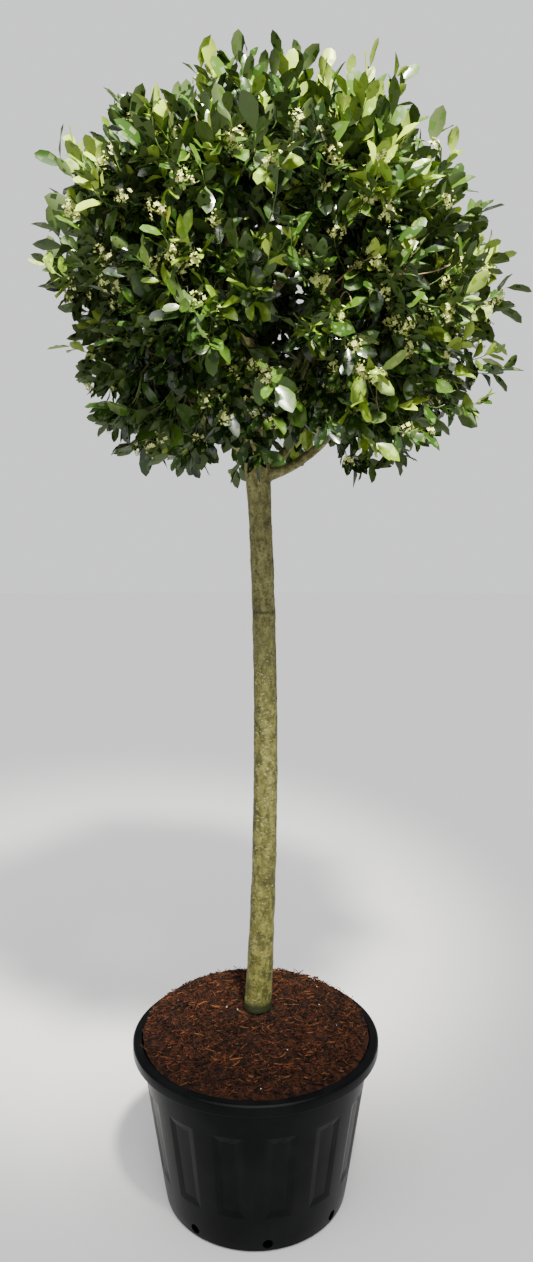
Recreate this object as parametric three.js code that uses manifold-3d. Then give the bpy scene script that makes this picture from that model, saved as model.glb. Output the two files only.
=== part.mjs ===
// A holly grown as a standard: a clipped round head of glossy evergreen leaves and cream blossom on a
// clear stem, in a black nursery pot filled with potting mix.
// Millimetres, +Z up. The origin is the middle of the pot's flat underside, and +Y is the far side.

import * as THREE from "three";
import { mergeVertices } from "three/addons/utils/BufferGeometryUtils.js";
import Module from "manifold-3d";

const wasm = await Module();
wasm.setup();

const GAP = 0.3; // between two pieces that touch
const WELD = 0.15; // slivers thinner than this are closed up after a join

// Driving dimensions of the pot
const POT_HEIGHT = 368;
const RIM_RADIUS = 278;
const LIP_WIDTH = 20;
const LIP_DROP = 24;
const LIP_SKIN = 4;
const FOOT_RADIUS = 206;
const WALL = 4;
const FLOOR = 6;
const FLUTES = 14;
const FLUTE_DEPTH = 4;
const FLUTE_TOP = 285;
const FLUTE_FOOT = 70;
const FLUTE_RUNOUT = 16;
const STEPS_PER_FLUTE = 4; // two at the rib's face, two at the flute's
const DRAIN_HOLES = 8;
const DRAIN_RADIUS = 10;
const DRAIN_HEIGHT = 21; // of a hole's middle, which is level with the floor
const DRAIN_FIRST_TURN = -37.5; // degrees
const DRAIN_SIDES = 8;

// Driving dimensions of the potting mix
const SOIL_EDGE = 377;
const SOIL_CLEAR = 2; // between the mix and the pot's wall
const SOIL_CROWN = 420;
const SOIL_TILT = 0.05; // rise towards the far side, per millimetre
const SOIL_LUMPS = 4;
const SOIL_STEPS = 36;
const SOIL_FALL = 1.6; // the exponent of the mound's curve
const SOIL_SKIRT = 22; // the mound's straight edge
const SOIL_RINGS = [0.94, 0.8, 0.62, 0.42]; // shares of its radius
const FOOT_FLAT = 46; // radius of the level patch that the stem stands on

// Driving dimensions of the trunk, which bows to the right of the pot's middle and leans back left
const BOW_REACH = 22.5;
const BOW_HEIGHT = 1030;
const BOW_BEND = 4.9e-5;
const BOW_DEPTH = 7;
const TRUNK_FOOT = SOIL_CROWN + GAP;
const TRUNK_TIP = 2210;
const TRUNK_GIRTH = [
  // height, diameter
  [420, 67],
  [455, 61],
  [670, 56],
  [1030, 54],
  [1300, 51.5],
  [1550, 51],
  [1655, 58],
  [1735, 44],
  [1900, 28],
  [2050, 18],
  [2210, 10],
];
const TRUNK_SIDES = 12;
const TRUNK_RINGS = 24;

// The head's outline is a flattened dome of revolution, a little right of the pot's middle
const HEAD_MIDDLE = new THREE.Vector3(33, 0, 2045);
const HEAD_RADIUS = 500;
const HEAD_ABOVE = 375;
const HEAD_BELOW = 470;
const ROUNDNESS_ABOVE = 2.2; // the exponents of its curve
const ROUNDNESS_BELOW = 2.8;
const UNDERSIDE_OPEN = 0.82; // the underside is bare where a direction points down more than this

// Each tier of boughs: how many, how high on the trunk, how they rise, and where their foliage sits
const TIERS = [
  {
    name: "lower",
    count: 6,
    firstAzimuth: -5,
    azimuthStep: 62,
    trunkFrom: 1618,
    trunkStep: 20,
    rise: 10,
    massElevation: -24,
    rootRadius: 12,
  },
  {
    name: "upper",
    count: 5,
    firstAzimuth: 30,
    azimuthStep: 71,
    trunkFrom: 1752,
    trunkStep: 42,
    rise: 42,
    massElevation: 26,
    rootRadius: 11,
  },
];
const MASS_CENTRE = 0.66; // share of the reach from the head's middle to a mass's middle
const BOUGH_TIP = 0.4; // the same, to the tip of its bough
const TOP_MASS = 0.62;
const BOUGH_TIP_RADIUS = 5.5;
const BOUGH_SIDES = 6;
const BOUGH_RINGS = 6;
const BOUGH_KNEE = 0.55; // share of its span at which it turns up

// Twigs, leaves and blossom. The leaves are fewer and larger than life.
const TIPS_SEED = 11;
const GROWTH_SEED = 5;
const SHOOTS = 67; // over the whole head
const SHOOT_LENGTH = 110;
const TIP_INSET = 74; // a shoot's leaves reach this far past its tip
const REACH_SPREAD = 0.08;
const TURN_SPREAD = 0.3; // radians
const TWIG_SHORTEST = 20;
const TWIG_THINNING = 0.86;
const TWIG_KEEPS_HEADING = 0.5;
const TWIG_SIDES = 3;
const SHOOT_RADIUS = 3;
const SHOOT_TIP_RADIUS = 1.6;
const SHOOT_KNEE = 0.5;
const LEAF_LENGTH = 124;
const LEAF_WIDTH = 0.48; // share of its length
const LEAF_THICKNESS = 4;
const LEAF_DROOP = 0.14;
const LEAF_SUNK = -0.03; // share of its length that its root goes past the shoot's middle
const LEAF_WIDEST = 0.45;
const LEAF_TRIES = [1, 0.82, 0.66]; // shares of its length, tried in turn where room is short
const LEAF_SIZE_SPREAD = 0.2;
const LEAVES_PER_SHOOT = 5;
const LEAF_FROM = 0.2; // shares of the shoot's length between which the leaves stand
const LEAF_TO = 0.97;
const LEAF_SPREAD_FOOT = 68; // degrees from the shoot
const LEAF_SPREAD_TIP = 26;
const GOLDEN_TURN = Math.PI * (3 - Math.sqrt(5));
const BLOSSOM_EVERY = 2; // a shoot in this many carries a bunch
const BLOSSOM_RADIUS = 15;
const BLOSSOM_ASIDE = 6;
const BLOSSOM_ALONG = 0.45; // share of the shoot's length
const JOINT_SWELL = 1.3; // a fork's lump, as a share of the twig's radius
const HEART_INSIDE = 0.34; // the dense hearts lie between these shares of the reach
const HEART_OUTSIDE = 0.7;
const HEART_SHARE = 0.86; // how far they fill their space sideways
const HEART_STEP = 5;
const SPACE_MARGIN = 1.5;
const LIMB_MARGIN = 4;
const SLEEVE = 2; // the clear space kept round the limbs

// Shoots that stand out of the clipped outline: azimuth and elevation in degrees, share of the reach
const LEADING_SHOOTS = [
  [183, 26, 1.08],
  [196, 44, 1.04],
  [262, 74, 1.09],
  [292, 66, 1.05],
  [318, 40, 1.05],
  [352, 14, 1.05],
  [344, -8, 1.05],
  [350, -24, 1.03],
  [181, 3, 1.05],
  [176, -18, 1.02],
  [288, -46, 1.02],
  [322, -44, 1.02],
  [304, -55, 1.05],
  [214, -42, 1.02],
  [232, -54, 1.04],
  [266, -55, 1.04],
  [270, 4, 1.05],
  [60, 50, 1.05],
  [90, 6, 1.04],
  [120, 20, 1.04],
];

const UP = new THREE.Vector3(0, 0, 1);
const degrees = THREE.MathUtils.degToRad;

// The same numbers in the same order for the same seed
function seeded(seed) {
  let state = seed >>> 0;
  return () => {
    state = (Math.imul(state, 1664525) + 1013904223) >>> 0;
    return state / 4294967296;
  };
}

function direction(azimuth, elevation) {
  const level = Math.cos(elevation);
  return new THREE.Vector3(
    level * Math.cos(azimuth),
    level * Math.sin(azimuth),
    Math.sin(elevation),
  );
}

// The height or size between the rows of a short table of [position, value]
function between(rows, position) {
  const above = rows.findIndex(([at]) => at >= position);
  if (above === 0) return rows[0][1];
  if (above < 0) return rows[rows.length - 1][1];
  const [[from, a], [to, b]] = [rows[above - 1], rows[above]];
  return a + ((b - a) * (position - from)) / (to - from);
}

// A closed solid from a geometry whose faces meet along shared edges and face outwards
function solidOf(geometry) {
  const bare = geometry.index ? geometry.toNonIndexed() : geometry.clone();
  bare.deleteAttribute("normal");
  bare.deleteAttribute("uv");
  const merged = mergeVertices(bare, 1e-4);
  const solid = new wasm.Manifold(
    new wasm.Mesh({
      numProp: 3,
      vertProperties: merged.attributes.position.array,
      triVerts: new Uint32Array(merged.index.array),
    }),
  );
  if (solid.volume() < 0) throw new Error("a piece is inside out");
  return solid;
}

function geometryOf(solid) {
  const { numProp, vertProperties, triVerts } = solid.getMesh();
  const geometry = new THREE.BufferGeometry();
  const positions = new Float32Array((vertProperties.length / numProp) * 3);
  for (let v = 0; v < positions.length / 3; v++) {
    positions.set(vertProperties.subarray(v * numProp, v * numProp + 3), v * 3);
  }
  geometry.setAttribute("position", new THREE.BufferAttribute(positions, 3));
  geometry.setIndex(new THREE.BufferAttribute(triVerts, 1));
  geometry.computeVertexNormals();
  return geometry;
}

const largest = (solid) =>
  solid
    .decompose()
    .reduce((best, piece) => (piece.volume() > best.volume() ? piece : best));

// Moves every vertex of a geometry to where place(vertex) says
function reshape(geometry, place) {
  const positions = geometry.attributes.position;
  for (let v = 0; v < positions.count; v++) {
    const moved = place(new THREE.Vector3().fromBufferAttribute(positions, v));
    positions.setXYZ(v, moved.x, moved.y, moved.z);
  }
  return geometry;
}

// A round or few-sided limb along a curve: a cylinder whose rings are laid along it
function limb(curve, radiusAt, sides, rings, grow = 0) {
  const frames = curve.computeFrenetFrames(rings);
  const points = curve.getSpacedPoints(rings);
  const cylinder = new THREE.CylinderGeometry(1, 1, 1, sides, rings);
  return reshape(cylinder, ({ x, y, z }) => {
    const ring = Math.round((y + 0.5) * rings);
    const radius = radiusAt(ring / rings, points[ring]) + grow;
    return points[ring]
      .clone()
      .addScaledVector(frames.normals[ring], x * radius)
      .addScaledVector(frames.binormals[ring], -z * radius);
  });
}

const twoRadii = (foot, tip) => (along) => foot + (tip - foot) * along;

// The pot: its wall is pressed into flutes, and its rim turns out and down
function wallRadius(height) {
  const top = RIM_RADIUS - LIP_WIDTH + WALL;
  return FOOT_RADIUS + ((top - FOOT_RADIUS) * height) / POT_HEIGHT;
}

function pressed(height, turn) {
  const inFlute = Math.round(turn * FLUTES * STEPS_PER_FLUTE) % STEPS_PER_FLUTE > 1;
  const along = height > FLUTE_FOOT + 1 && height < FLUTE_TOP - 1;
  return inFlute && along ? FLUTE_DEPTH : 0;
}

function potShell() {
  const levels = [
    FLUTE_FOOT,
    FLUTE_FOOT + FLUTE_RUNOUT,
    FLUTE_TOP - FLUTE_RUNOUT,
    FLUTE_TOP,
  ];
  const skirt = POT_HEIGHT - LIP_DROP;
  const outside = [[FOOT_RADIUS - 5, 0], [FOOT_RADIUS, 5]];
  levels.forEach((height) => outside.push([wallRadius(height), height]));
  outside.push(
    [wallRadius(skirt), skirt],
    [wallRadius(POT_HEIGHT - LIP_SKIN), POT_HEIGHT - LIP_SKIN],
    [RIM_RADIUS - LIP_SKIN, POT_HEIGHT - LIP_SKIN],
    [RIM_RADIUS - LIP_SKIN, skirt],
    [RIM_RADIUS, skirt],
    [RIM_RADIUS, POT_HEIGHT - LIP_SKIN],
    [RIM_RADIUS - LIP_SKIN, POT_HEIGHT],
  );
  const inside = [[wallRadius(POT_HEIGHT) - WALL, POT_HEIGHT]];
  levels
    .slice()
    .reverse()
    .forEach((height) => inside.push([wallRadius(height) - WALL, height]));
  inside.push([wallRadius(FLOOR) - WALL, FLOOR]);
  const profile = [[0, 0], ...outside, ...inside, [0, FLOOR]];
  const lathe = new THREE.LatheGeometry(
    profile.map(([radius, height]) => new THREE.Vector2(radius, height)),
    FLUTES * STEPS_PER_FLUTE,
  );
  const shell = reshape(lathe, ({ x, y, z }) => {
    const turn = (Math.atan2(-z, x) / (2 * Math.PI) + 1) % 1;
    const radius = Math.hypot(x, z);
    const share = radius ? (radius - pressed(y, turn)) / radius : 0;
    return new THREE.Vector3(x * share, -z * share, y);
  });
  return solidOf(shell);
}

function drainHole(number) {
  const depth = FOOT_RADIUS / 4;
  const bore = new THREE.CylinderGeometry(DRAIN_RADIUS, DRAIN_RADIUS, depth, DRAIN_SIDES);
  bore.rotateZ(Math.PI / 2);
  bore.translate(FOOT_RADIUS, 0, DRAIN_HEIGHT);
  bore.rotateZ(degrees(DRAIN_FIRST_TURN + (360 * number) / DRAIN_HOLES));
  return solidOf(bore);
}

function pot() {
  let shell = potShell();
  for (let number = 0; number < DRAIN_HOLES; number++) {
    shell = shell.subtract(drainHole(number));
  }
  return shell;
}

// The potting mix stands above the rim, highest at the stem and at the far side
function soilHeight(x, y, radius) {
  const share = Math.min(1, radius / (RIM_RADIUS - LIP_WIDTH));
  const slope = THREE.MathUtils.smoothstep(radius, FOOT_FLAT, 3 * FOOT_FLAT);
  const lumps =
    SOIL_LUMPS * Math.sin(x / 19) * Math.cos(y / 23) + 2 * Math.sin((x - y) / 9);
  return (
    SOIL_EDGE +
    (SOIL_CROWN - SOIL_EDGE) * (1 - slope * share ** SOIL_FALL) +
    slope * (SOIL_TILT * y + lumps)
  );
}

function soil() {
  const inner = (height) => wallRadius(height) - WALL - SOIL_CLEAR;
  const floor = FLOOR + GAP;
  const skirt = SOIL_EDGE - SOIL_SKIRT;
  const edge = inner(skirt);
  const profile = [
    [0, floor],
    [inner(floor) - FLUTE_DEPTH, floor],
    [inner(FLUTE_TOP) - FLUTE_DEPTH, FLUTE_TOP],
    [edge, skirt],
  ];
  for (const share of SOIL_RINGS) {
    profile.push([edge * share, SOIL_EDGE]);
  }
  profile.push([FOOT_FLAT, SOIL_CROWN], [0, SOIL_CROWN]);
  const lathe = new THREE.LatheGeometry(
    profile.map(([radius, height]) => new THREE.Vector2(radius, height)),
    SOIL_STEPS,
  );
  const mound = reshape(lathe, ({ x, y, z }) => {
    const radius = Math.hypot(x, z);
    const height = y < SOIL_EDGE ? y : soilHeight(x, -z, radius);
    return new THREE.Vector3(x, -z, height);
  });
  return solidOf(mound);
}

// The trunk, and the boughs that leave it
function trunkPoint(height) {
  const along = (height - TRUNK_FOOT) / (TRUNK_TIP - TRUNK_FOOT);
  return new THREE.Vector3(
    BOW_REACH - BOW_BEND * (height - BOW_HEIGHT) ** 2,
    BOW_DEPTH * Math.sin(2 * Math.PI * along),
    height,
  );
}

const trunkRadius = (height) => between(TRUNK_GIRTH, height) / 2;

class TrunkCurve extends THREE.Curve {
  getPoint(share) {
    return trunkPoint(TRUNK_FOOT + (TRUNK_TIP - TRUNK_FOOT) * share);
  }
}

const trunkCurve = new TrunkCurve();

// Its rings are level, so that the foot is a flat cut
function trunk(grow = 0) {
  const cylinder = new THREE.CylinderGeometry(1, 1, 1, TRUNK_SIDES, TRUNK_RINGS);
  return reshape(cylinder, ({ x, y, z }) => {
    const middle = trunkCurve.getPoint(y + 0.5);
    const radius = trunkRadius(middle.z) + grow;
    return new THREE.Vector3(middle.x + x * radius, middle.y - z * radius, middle.z);
  });
}

// How far the head's outline lies from its middle in a direction
function headReach(way) {
  const level = Math.hypot(way.x, way.y) / HEAD_RADIUS;
  const rise = Math.abs(way.z) / (way.z > 0 ? HEAD_ABOVE : HEAD_BELOW);
  const roundness = way.z > 0 ? ROUNDNESS_ABOVE : ROUNDNESS_BELOW;
  return (level ** roundness + rise ** roundness) ** (-1 / roundness);
}

const headPoint = (way, share, inset = 0) =>
  HEAD_MIDDLE.clone().addScaledVector(way, headReach(way) * share - inset);

// How far out a point lies, as a share of the head's reach in its direction
function headShare(point) {
  const out = point.clone().sub(HEAD_MIDDLE);
  return out.length() / headReach(out.clone().normalize());
}

function boughCurve(tier, number) {
  const azimuth = degrees(tier.firstAzimuth + number * tier.azimuthStep);
  const root = trunkPoint(tier.trunkFrom + number * tier.trunkStep);
  const tip = headPoint(direction(azimuth, degrees(tier.massElevation)), BOUGH_TIP);
  const span = root.distanceTo(tip);
  const knee = root
    .clone()
    .addScaledVector(direction(azimuth, degrees(tier.rise)), span * BOUGH_KNEE);
  return new THREE.QuadraticBezierCurve3(root, knee, tip);
}

function makeMasses() {
  const masses = [];
  for (const tier of TIERS) {
    for (let number = 0; number < tier.count; number++) {
      const azimuth = degrees(tier.firstAzimuth + number * tier.azimuthStep);
      const way = direction(azimuth, degrees(tier.massElevation));
      const curve = boughCurve(tier, number);
      masses.push({
        name: `${tier.name}_${number + 1}`,
        middle: headPoint(way, MASS_CENTRE),
        curve,
        rootRadius: tier.rootRadius,
        start: curve.getPoint(1),
        heading: curve.getTangent(1),
      });
    }
  }
  masses.push({
    name: "top",
    middle: headPoint(UP, TOP_MASS),
    curve: null,
    start: trunkPoint(TRUNK_TIP),
    heading: trunkCurve.getTangent(1),
  });
  return masses;
}

const masses = makeMasses();

// Every limb as a row of points with a radius, to keep leaves and twigs clear of it
function limbStations() {
  const rows = [];
  for (let height = TRUNK_FOOT; height < TRUNK_TIP; height += 12) {
    rows.push([trunkPoint(height), trunkRadius(height)]);
  }
  for (const { curve, rootRadius } of masses) {
    if (!curve) continue;
    curve
      .getSpacedPoints(24)
      .slice(0, -1)
      .forEach((point) => rows.push([point, rootRadius]));
  }
  return rows;
}

const stations = limbStations();

const clearOfLimbs = (point) =>
  stations.every(([at, radius]) => at.distanceTo(point) > radius + LIMB_MARGIN);

// A mass's space is the part of the head that lies nearer its middle than any other's
function inSpace(point, mass) {
  const own = point.distanceToSquared(mass.middle);
  return masses.every((other) => {
    if (other === mass) return true;
    const apart = other.middle.distanceTo(mass.middle);
    const beyond = (point.distanceToSquared(other.middle) - own) / (2 * apart);
    return beyond > SPACE_MARGIN;
  });
}

const fits = (point, mass) => inSpace(point, mass) && clearOfLimbs(point);

// The tips that the twigs grow to, spread evenly over the head's outline
function shootTips() {
  const random = seeded(TIPS_SEED);
  const tips = [];
  for (let number = 0; number < SHOOTS; number++) {
    const rise = 1 - (2 * (number + 0.5)) / SHOOTS;
    const azimuth = number * GOLDEN_TURN + TURN_SPREAD * (random() - 0.5);
    const way = direction(azimuth, Math.asin(rise));
    const share = 1 - REACH_SPREAD * random();
    if (-rise < UNDERSIDE_OPEN) tips.push(headPoint(way, share, TIP_INSET));
  }
  for (const [azimuth, elevation, share] of LEADING_SHOOTS) {
    const way = direction(degrees(azimuth), degrees(elevation));
    tips.push(headPoint(way, share, TIP_INSET));
  }
  return tips;
}

function nearestMass(point) {
  return masses.reduce((best, mass) =>
    point.distanceTo(mass.middle) < point.distanceTo(best.middle) ? mass : best,
  );
}

const average = (points) =>
  points
    .reduce((sum, point) => sum.add(point), new THREE.Vector3())
    .divideScalar(points.length);

// Splits a twig's tips into two halves across their longest spread
function halves(tips, heading) {
  const middle = average(tips);
  const aside = tips
    .map((tip) => tip.clone().sub(middle).projectOnPlane(heading))
    .reduce((best, way) => (way.lengthSq() > best.lengthSq() ? way : best));
  const order = tips
    .slice()
    .sort((a, b) => a.dot(aside) - b.dot(aside));
  const half = Math.ceil(order.length / 2);
  return [order.slice(0, half), order.slice(half)];
}

// A twig forks in two, again and again, until each fork leads to one tip
function grow(start, heading, tips, radius, twigs) {
  const middle = average(tips);
  const way = middle.clone().sub(start);
  if (tips.length === 1) {
    const rise = tips[0].clone().sub(HEAD_MIDDLE).normalize().add(UP).normalize();
    const knee = tips[0].clone().addScaledVector(rise, -SHOOT_KNEE * way.length());
    const curve = new THREE.QuadraticBezierCurve3(start, knee, tips[0]);
    twigs.push({ curve, foot: radius, tip: SHOOT_TIP_RADIUS, shoot: true });
    return;
  }
  const forks = Math.ceil(Math.log2(tips.length));
  const step = Math.max(TWIG_SHORTEST, (way.length() - SHOOT_LENGTH) / forks);
  const kept = heading.clone().multiplyScalar(TWIG_KEEPS_HEADING);
  const bend = kept.add(way.normalize()).normalize();
  const fork = start.clone().addScaledVector(bend, step);
  const next = Math.max(SHOOT_RADIUS, radius * TWIG_THINNING);
  const curve = new THREE.LineCurve3(start, fork);
  twigs.push({ curve, foot: radius, tip: next, shoot: false });
  for (const half of halves(tips, bend)) {
    grow(fork, bend, half, next, twigs);
  }
}

// An eight-sided blade: its root is sunk in the twig, and it droops a little to its tip
function leaf({ root, ahead, face, length }) {
  const across = face.clone().cross(ahead).normalize();
  const blade = new THREE.OctahedronGeometry(1);
  return reshape(blade, ({ x, y, z }) => {
    const along = x > 0.5 ? 1 : x < -0.5 ? LEAF_SUNK : LEAF_WIDEST;
    const droop = -LEAF_DROOP * length * along ** 2;
    return root
      .clone()
      .addScaledVector(ahead, along * length)
      .addScaledVector(across, (y * LEAF_WIDTH * length) / 2)
      .addScaledVector(face, droop + (z * LEAF_THICKNESS) / 2);
  });
}

// A leaf that stands off a shoot at a spread, turned round it, facing up and outwards
function leafPlace(curve, share, turn, spread, length) {
  const root = curve.getPoint(share);
  const tangent = curve.getTangent(share);
  const side = new THREE.Vector3(1, 0.3, 0.2).cross(tangent).normalize();
  side.applyAxisAngle(tangent, turn);
  const ahead = tangent
    .clone()
    .multiplyScalar(Math.cos(spread))
    .addScaledVector(side, Math.sin(spread));
  const out = root.clone().sub(HEAD_MIDDLE).normalize();
  const face = UP.clone().add(out).projectOnPlane(ahead).normalize();
  return { root, ahead, face, length };
}

function leafFits({ root, ahead, face, length }, mass) {
  const across = face.clone().cross(ahead).normalize();
  const at = (along, aside) =>
    root
      .clone()
      .addScaledVector(ahead, along * length)
      .addScaledVector(across, (aside * LEAF_WIDTH * length) / 2)
      .addScaledVector(face, -LEAF_DROOP * length * along ** 2);
  const corners = [at(1, 0), at(LEAF_WIDEST, 1), at(LEAF_WIDEST, -1)];
  const midrib = [at(1 / 3, 0), at(2 / 3, 0)];
  return [...corners, ...midrib].every((point) => fits(point, mass));
}

// The leaves of a shoot: round it by the golden angle, closing up towards its tip
function leavesOf(curve, mass, random) {
  const leaves = [];
  const firstTurn = random() * 2 * Math.PI;
  for (let number = 0; number < LEAVES_PER_SHOOT; number++) {
    const step = number / (LEAVES_PER_SHOOT - 1);
    const share = LEAF_FROM + (LEAF_TO - LEAF_FROM) * step;
    const spread = LEAF_SPREAD_FOOT + (LEAF_SPREAD_TIP - LEAF_SPREAD_FOOT) * step;
    const turn = firstTurn + number * GOLDEN_TURN;
    const length = LEAF_LENGTH * (1 + LEAF_SIZE_SPREAD * (random() - 0.5));
    const place = LEAF_TRIES.map((size) =>
      leafPlace(curve, share, turn, degrees(spread * size), length * size),
    ).find((tried) => leafFits(tried, mass));
    if (place) leaves.push(leaf(place));
  }
  return leaves;
}

// The dense heart of a mass: a lump that follows its space and stays inside the leaves
function heart(mass) {
  const ball = new THREE.IcosahedronGeometry(1, 1);
  return reshape(ball, (way) => {
    const at = (far) => mass.middle.clone().addScaledVector(way, far);
    const within = (share) => share < HEART_OUTSIDE && share > HEART_INSIDE;
    let far = 2 * HEART_STEP;
    while (inSpace(at(far / HEART_SHARE), mass) && within(headShare(at(far)))) {
      far += HEART_STEP;
    }
    return at(far);
  });
}

// An eight-sided lump at a fork or for a bunch of blossom, turned so that none of its edges lies in
// one plane with a twig's
function lump(radius, at, turn) {
  const eightSided = new THREE.OctahedronGeometry(radius);
  eightSided.rotateX(turn);
  eightSided.rotateY(2 * turn);
  return eightSided.translate(at.x, at.y, at.z);
}

function blossom(curve, random) {
  const aside = new THREE.Vector3(random(), random(), random()).multiplyScalar(BLOSSOM_ASIDE);
  return lump(BLOSSOM_RADIUS, curve.getPoint(BLOSSOM_ALONG).add(aside), random());
}

// One mass of foliage: its stem, twigs, leaves and blossom, with its heart, fused
function foliage(mass, tips, sleeves) {
  const random = seeded(GROWTH_SEED);
  const start = mass.start.clone().addScaledVector(mass.heading, GAP);
  const twigs = [];
  grow(start, mass.heading, tips, BOUGH_TIP_RADIUS, twigs);
  const solids = [solidOf(heart(mass))];
  for (const { curve, foot, tip } of twigs.filter(({ shoot }) => !shoot)) {
    solids.push(solidOf(limb(curve, twoRadii(foot, tip), TWIG_SIDES, 1)));
    solids.push(solidOf(lump(foot * JOINT_SWELL, curve.getPoint(1), random() + 1)));
  }
  const shoots = twigs.filter(({ shoot }) => shoot);
  shoots.forEach(({ curve, foot, tip }, number) => {
    if (!curve.getPoints(6).every((point) => inSpace(point, mass))) return;
    solids.push(solidOf(limb(curve, twoRadii(foot, tip), TWIG_SIDES, 2)));
    leavesOf(curve, mass, random).forEach((blade) => solids.push(solidOf(blade)));
    if (number % BLOSSOM_EVERY === 0) solids.push(solidOf(blossom(curve, random)));
  });
  return largest(wasm.Manifold.union(solids).subtract(sleeves).simplify(WELD));
}

const finish = (color, roughness) =>
  new THREE.MeshStandardMaterial({ color, roughness, metalness: 0 });

const MATERIALS = {
  pot: finish(0x1f2122, 0.45),
  soil: finish(0x3a2115, 0.95),
  bark: finish(0x7d7a3a, 0.8),
  foliage: finish(0x2c4a1a, 0.4),
};

const tree = new THREE.Group();

function add(name, solid, material) {
  const mesh = new THREE.Mesh(geometryOf(solid), material);
  mesh.name = name;
  tree.add(mesh);
}

add("pot", pot(), MATERIALS.pot);
add("potting_mix", soil(), MATERIALS.soil);
add("trunk", solidOf(trunk()), MATERIALS.bark);

const boughRadius = ({ rootRadius }) => twoRadii(rootRadius, BOUGH_TIP_RADIUS);
const boughs = masses.filter(({ curve }) => curve);
const trunkSleeve = solidOf(trunk(GAP));
for (const mass of boughs) {
  const solid = solidOf(
    limb(mass.curve, boughRadius(mass), BOUGH_SIDES, BOUGH_RINGS),
  );
  add(`bough_${mass.name}`, solid.subtract(trunkSleeve), MATERIALS.bark);
}

const sleeves = wasm.Manifold.union([
  solidOf(trunk(SLEEVE)),
  ...boughs.map((mass) =>
    solidOf(limb(mass.curve, boughRadius(mass), BOUGH_SIDES, BOUGH_RINGS, SLEEVE)),
  ),
]);
const tips = shootTips();
for (const mass of masses) {
  const own = tips.filter((tip) => nearestMass(tip) === mass);
  add(`foliage_${mass.name}`, foliage(mass, own, sleeves), MATERIALS.foliage);
}

export default tree;
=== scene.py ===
# %% [markdown]
# # A potted holly standard
# The plant is a clear stem with a clipped round head, in a black nursery pot. The construction is
# already settled: it comes in as a fixed frame of plain solids. This lesson dresses those solids.
# The pot and its mix are modelled as by hand, the limbs are fused into one skin of bark, and the
# twigs, leaves and blossom grow on from the limbs by a seeded rule.

# %% Load the frame
import math

import bpy
import numpy as np
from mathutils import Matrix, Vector


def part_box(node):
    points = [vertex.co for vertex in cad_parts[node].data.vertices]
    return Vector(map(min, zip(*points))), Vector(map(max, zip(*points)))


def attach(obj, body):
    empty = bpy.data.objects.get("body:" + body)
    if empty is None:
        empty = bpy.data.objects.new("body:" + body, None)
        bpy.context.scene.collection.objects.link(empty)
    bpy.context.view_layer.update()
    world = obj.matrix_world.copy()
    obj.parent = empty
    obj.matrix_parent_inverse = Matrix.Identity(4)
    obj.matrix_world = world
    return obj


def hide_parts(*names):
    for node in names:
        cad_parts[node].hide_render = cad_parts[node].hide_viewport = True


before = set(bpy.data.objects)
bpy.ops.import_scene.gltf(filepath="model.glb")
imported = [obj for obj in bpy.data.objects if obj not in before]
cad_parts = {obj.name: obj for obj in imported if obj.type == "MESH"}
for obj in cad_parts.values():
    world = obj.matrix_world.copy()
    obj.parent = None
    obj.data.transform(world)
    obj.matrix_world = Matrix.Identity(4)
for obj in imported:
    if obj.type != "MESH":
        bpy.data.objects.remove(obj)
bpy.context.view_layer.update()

# %% [markdown]
# The photograph was taken from chest height with a wide lens, tilted slightly down. The marks of
# the height scale and the rim and foot of the pot give the place, the tilt and the lens.

# %% Camera
CAMERA_PLACE = (0.0244, -1.885, 1.433)
CAMERA_TILT = 4.54  # degrees below the level
LENS = 24.49  # millimetres, for a sensor 36 mm on its long side

bpy.ops.object.camera_add(
    location=CAMERA_PLACE, rotation=(math.radians(90 - CAMERA_TILT), 0, 0)
)
camera = bpy.context.object
camera.data.lens = LENS
camera.data.sensor_width = 36
bpy.context.scene.camera = camera
print("camera at", CAMERA_PLACE)

# %% [markdown]
# A few helpers keep the later cells short. An operator acts on everything that is selected, and
# the frame arrives selected, so each step starts by selecting only its own piece.


# %% Helpers for modelling
def only(piece):
    bpy.ops.object.select_all(action="DESELECT")
    piece.select_set(True)
    bpy.context.view_layer.objects.active = piece


def select_faces(piece, wanted):
    """Selects the faces that wanted(centre, normal) picks, and opens the piece in edit mode."""
    only(piece)
    mesh = piece.data
    mesh.vertices.foreach_set("select", [False] * len(mesh.vertices))
    mesh.edges.foreach_set("select", [False] * len(mesh.edges))
    picked = [bool(wanted(face.center, face.normal)) for face in mesh.polygons]
    mesh.polygons.foreach_set("select", picked)
    bpy.ops.object.mode_set(mode="EDIT")
    bpy.ops.mesh.select_mode(type="FACE")


def apply_modifier(piece, kind, **settings):
    only(piece)
    modifier = piece.modifiers.new(kind.lower(), kind)
    for name, value in settings.items():
        setattr(modifier, name, value)
    bpy.ops.object.modifier_apply(modifier=modifier.name)


def mesh_piece(name, vertices, edges, faces):
    mesh = bpy.data.meshes.new(name)
    mesh.from_pydata(vertices, edges, faces)
    piece = bpy.data.objects.new(name, mesh)
    bpy.context.scene.collection.objects.link(piece)
    return piece


def roughen(piece, *sizes_and_strengths):
    """Pushes the surface in and out by one cloudy pattern after another, each of its own size."""
    for size, strength in sizes_and_strengths:
        clouds = bpy.data.textures.new(piece.name + "_clouds", "CLOUDS")
        clouds.noise_scale = size
        apply_modifier(piece, "DISPLACE", texture=clouds, strength=strength, mid_level=0.5)


def dress(piece, slot, material, *nodes):
    """Gives a piece its material and lets it ride with the plant. The slot is not used."""
    piece.data.materials.clear()
    piece.data.materials.append(material)
    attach(piece, "root")
    if nodes:
        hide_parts(*nodes)
    print(piece.name, len(piece.data.polygons), "faces")


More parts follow.
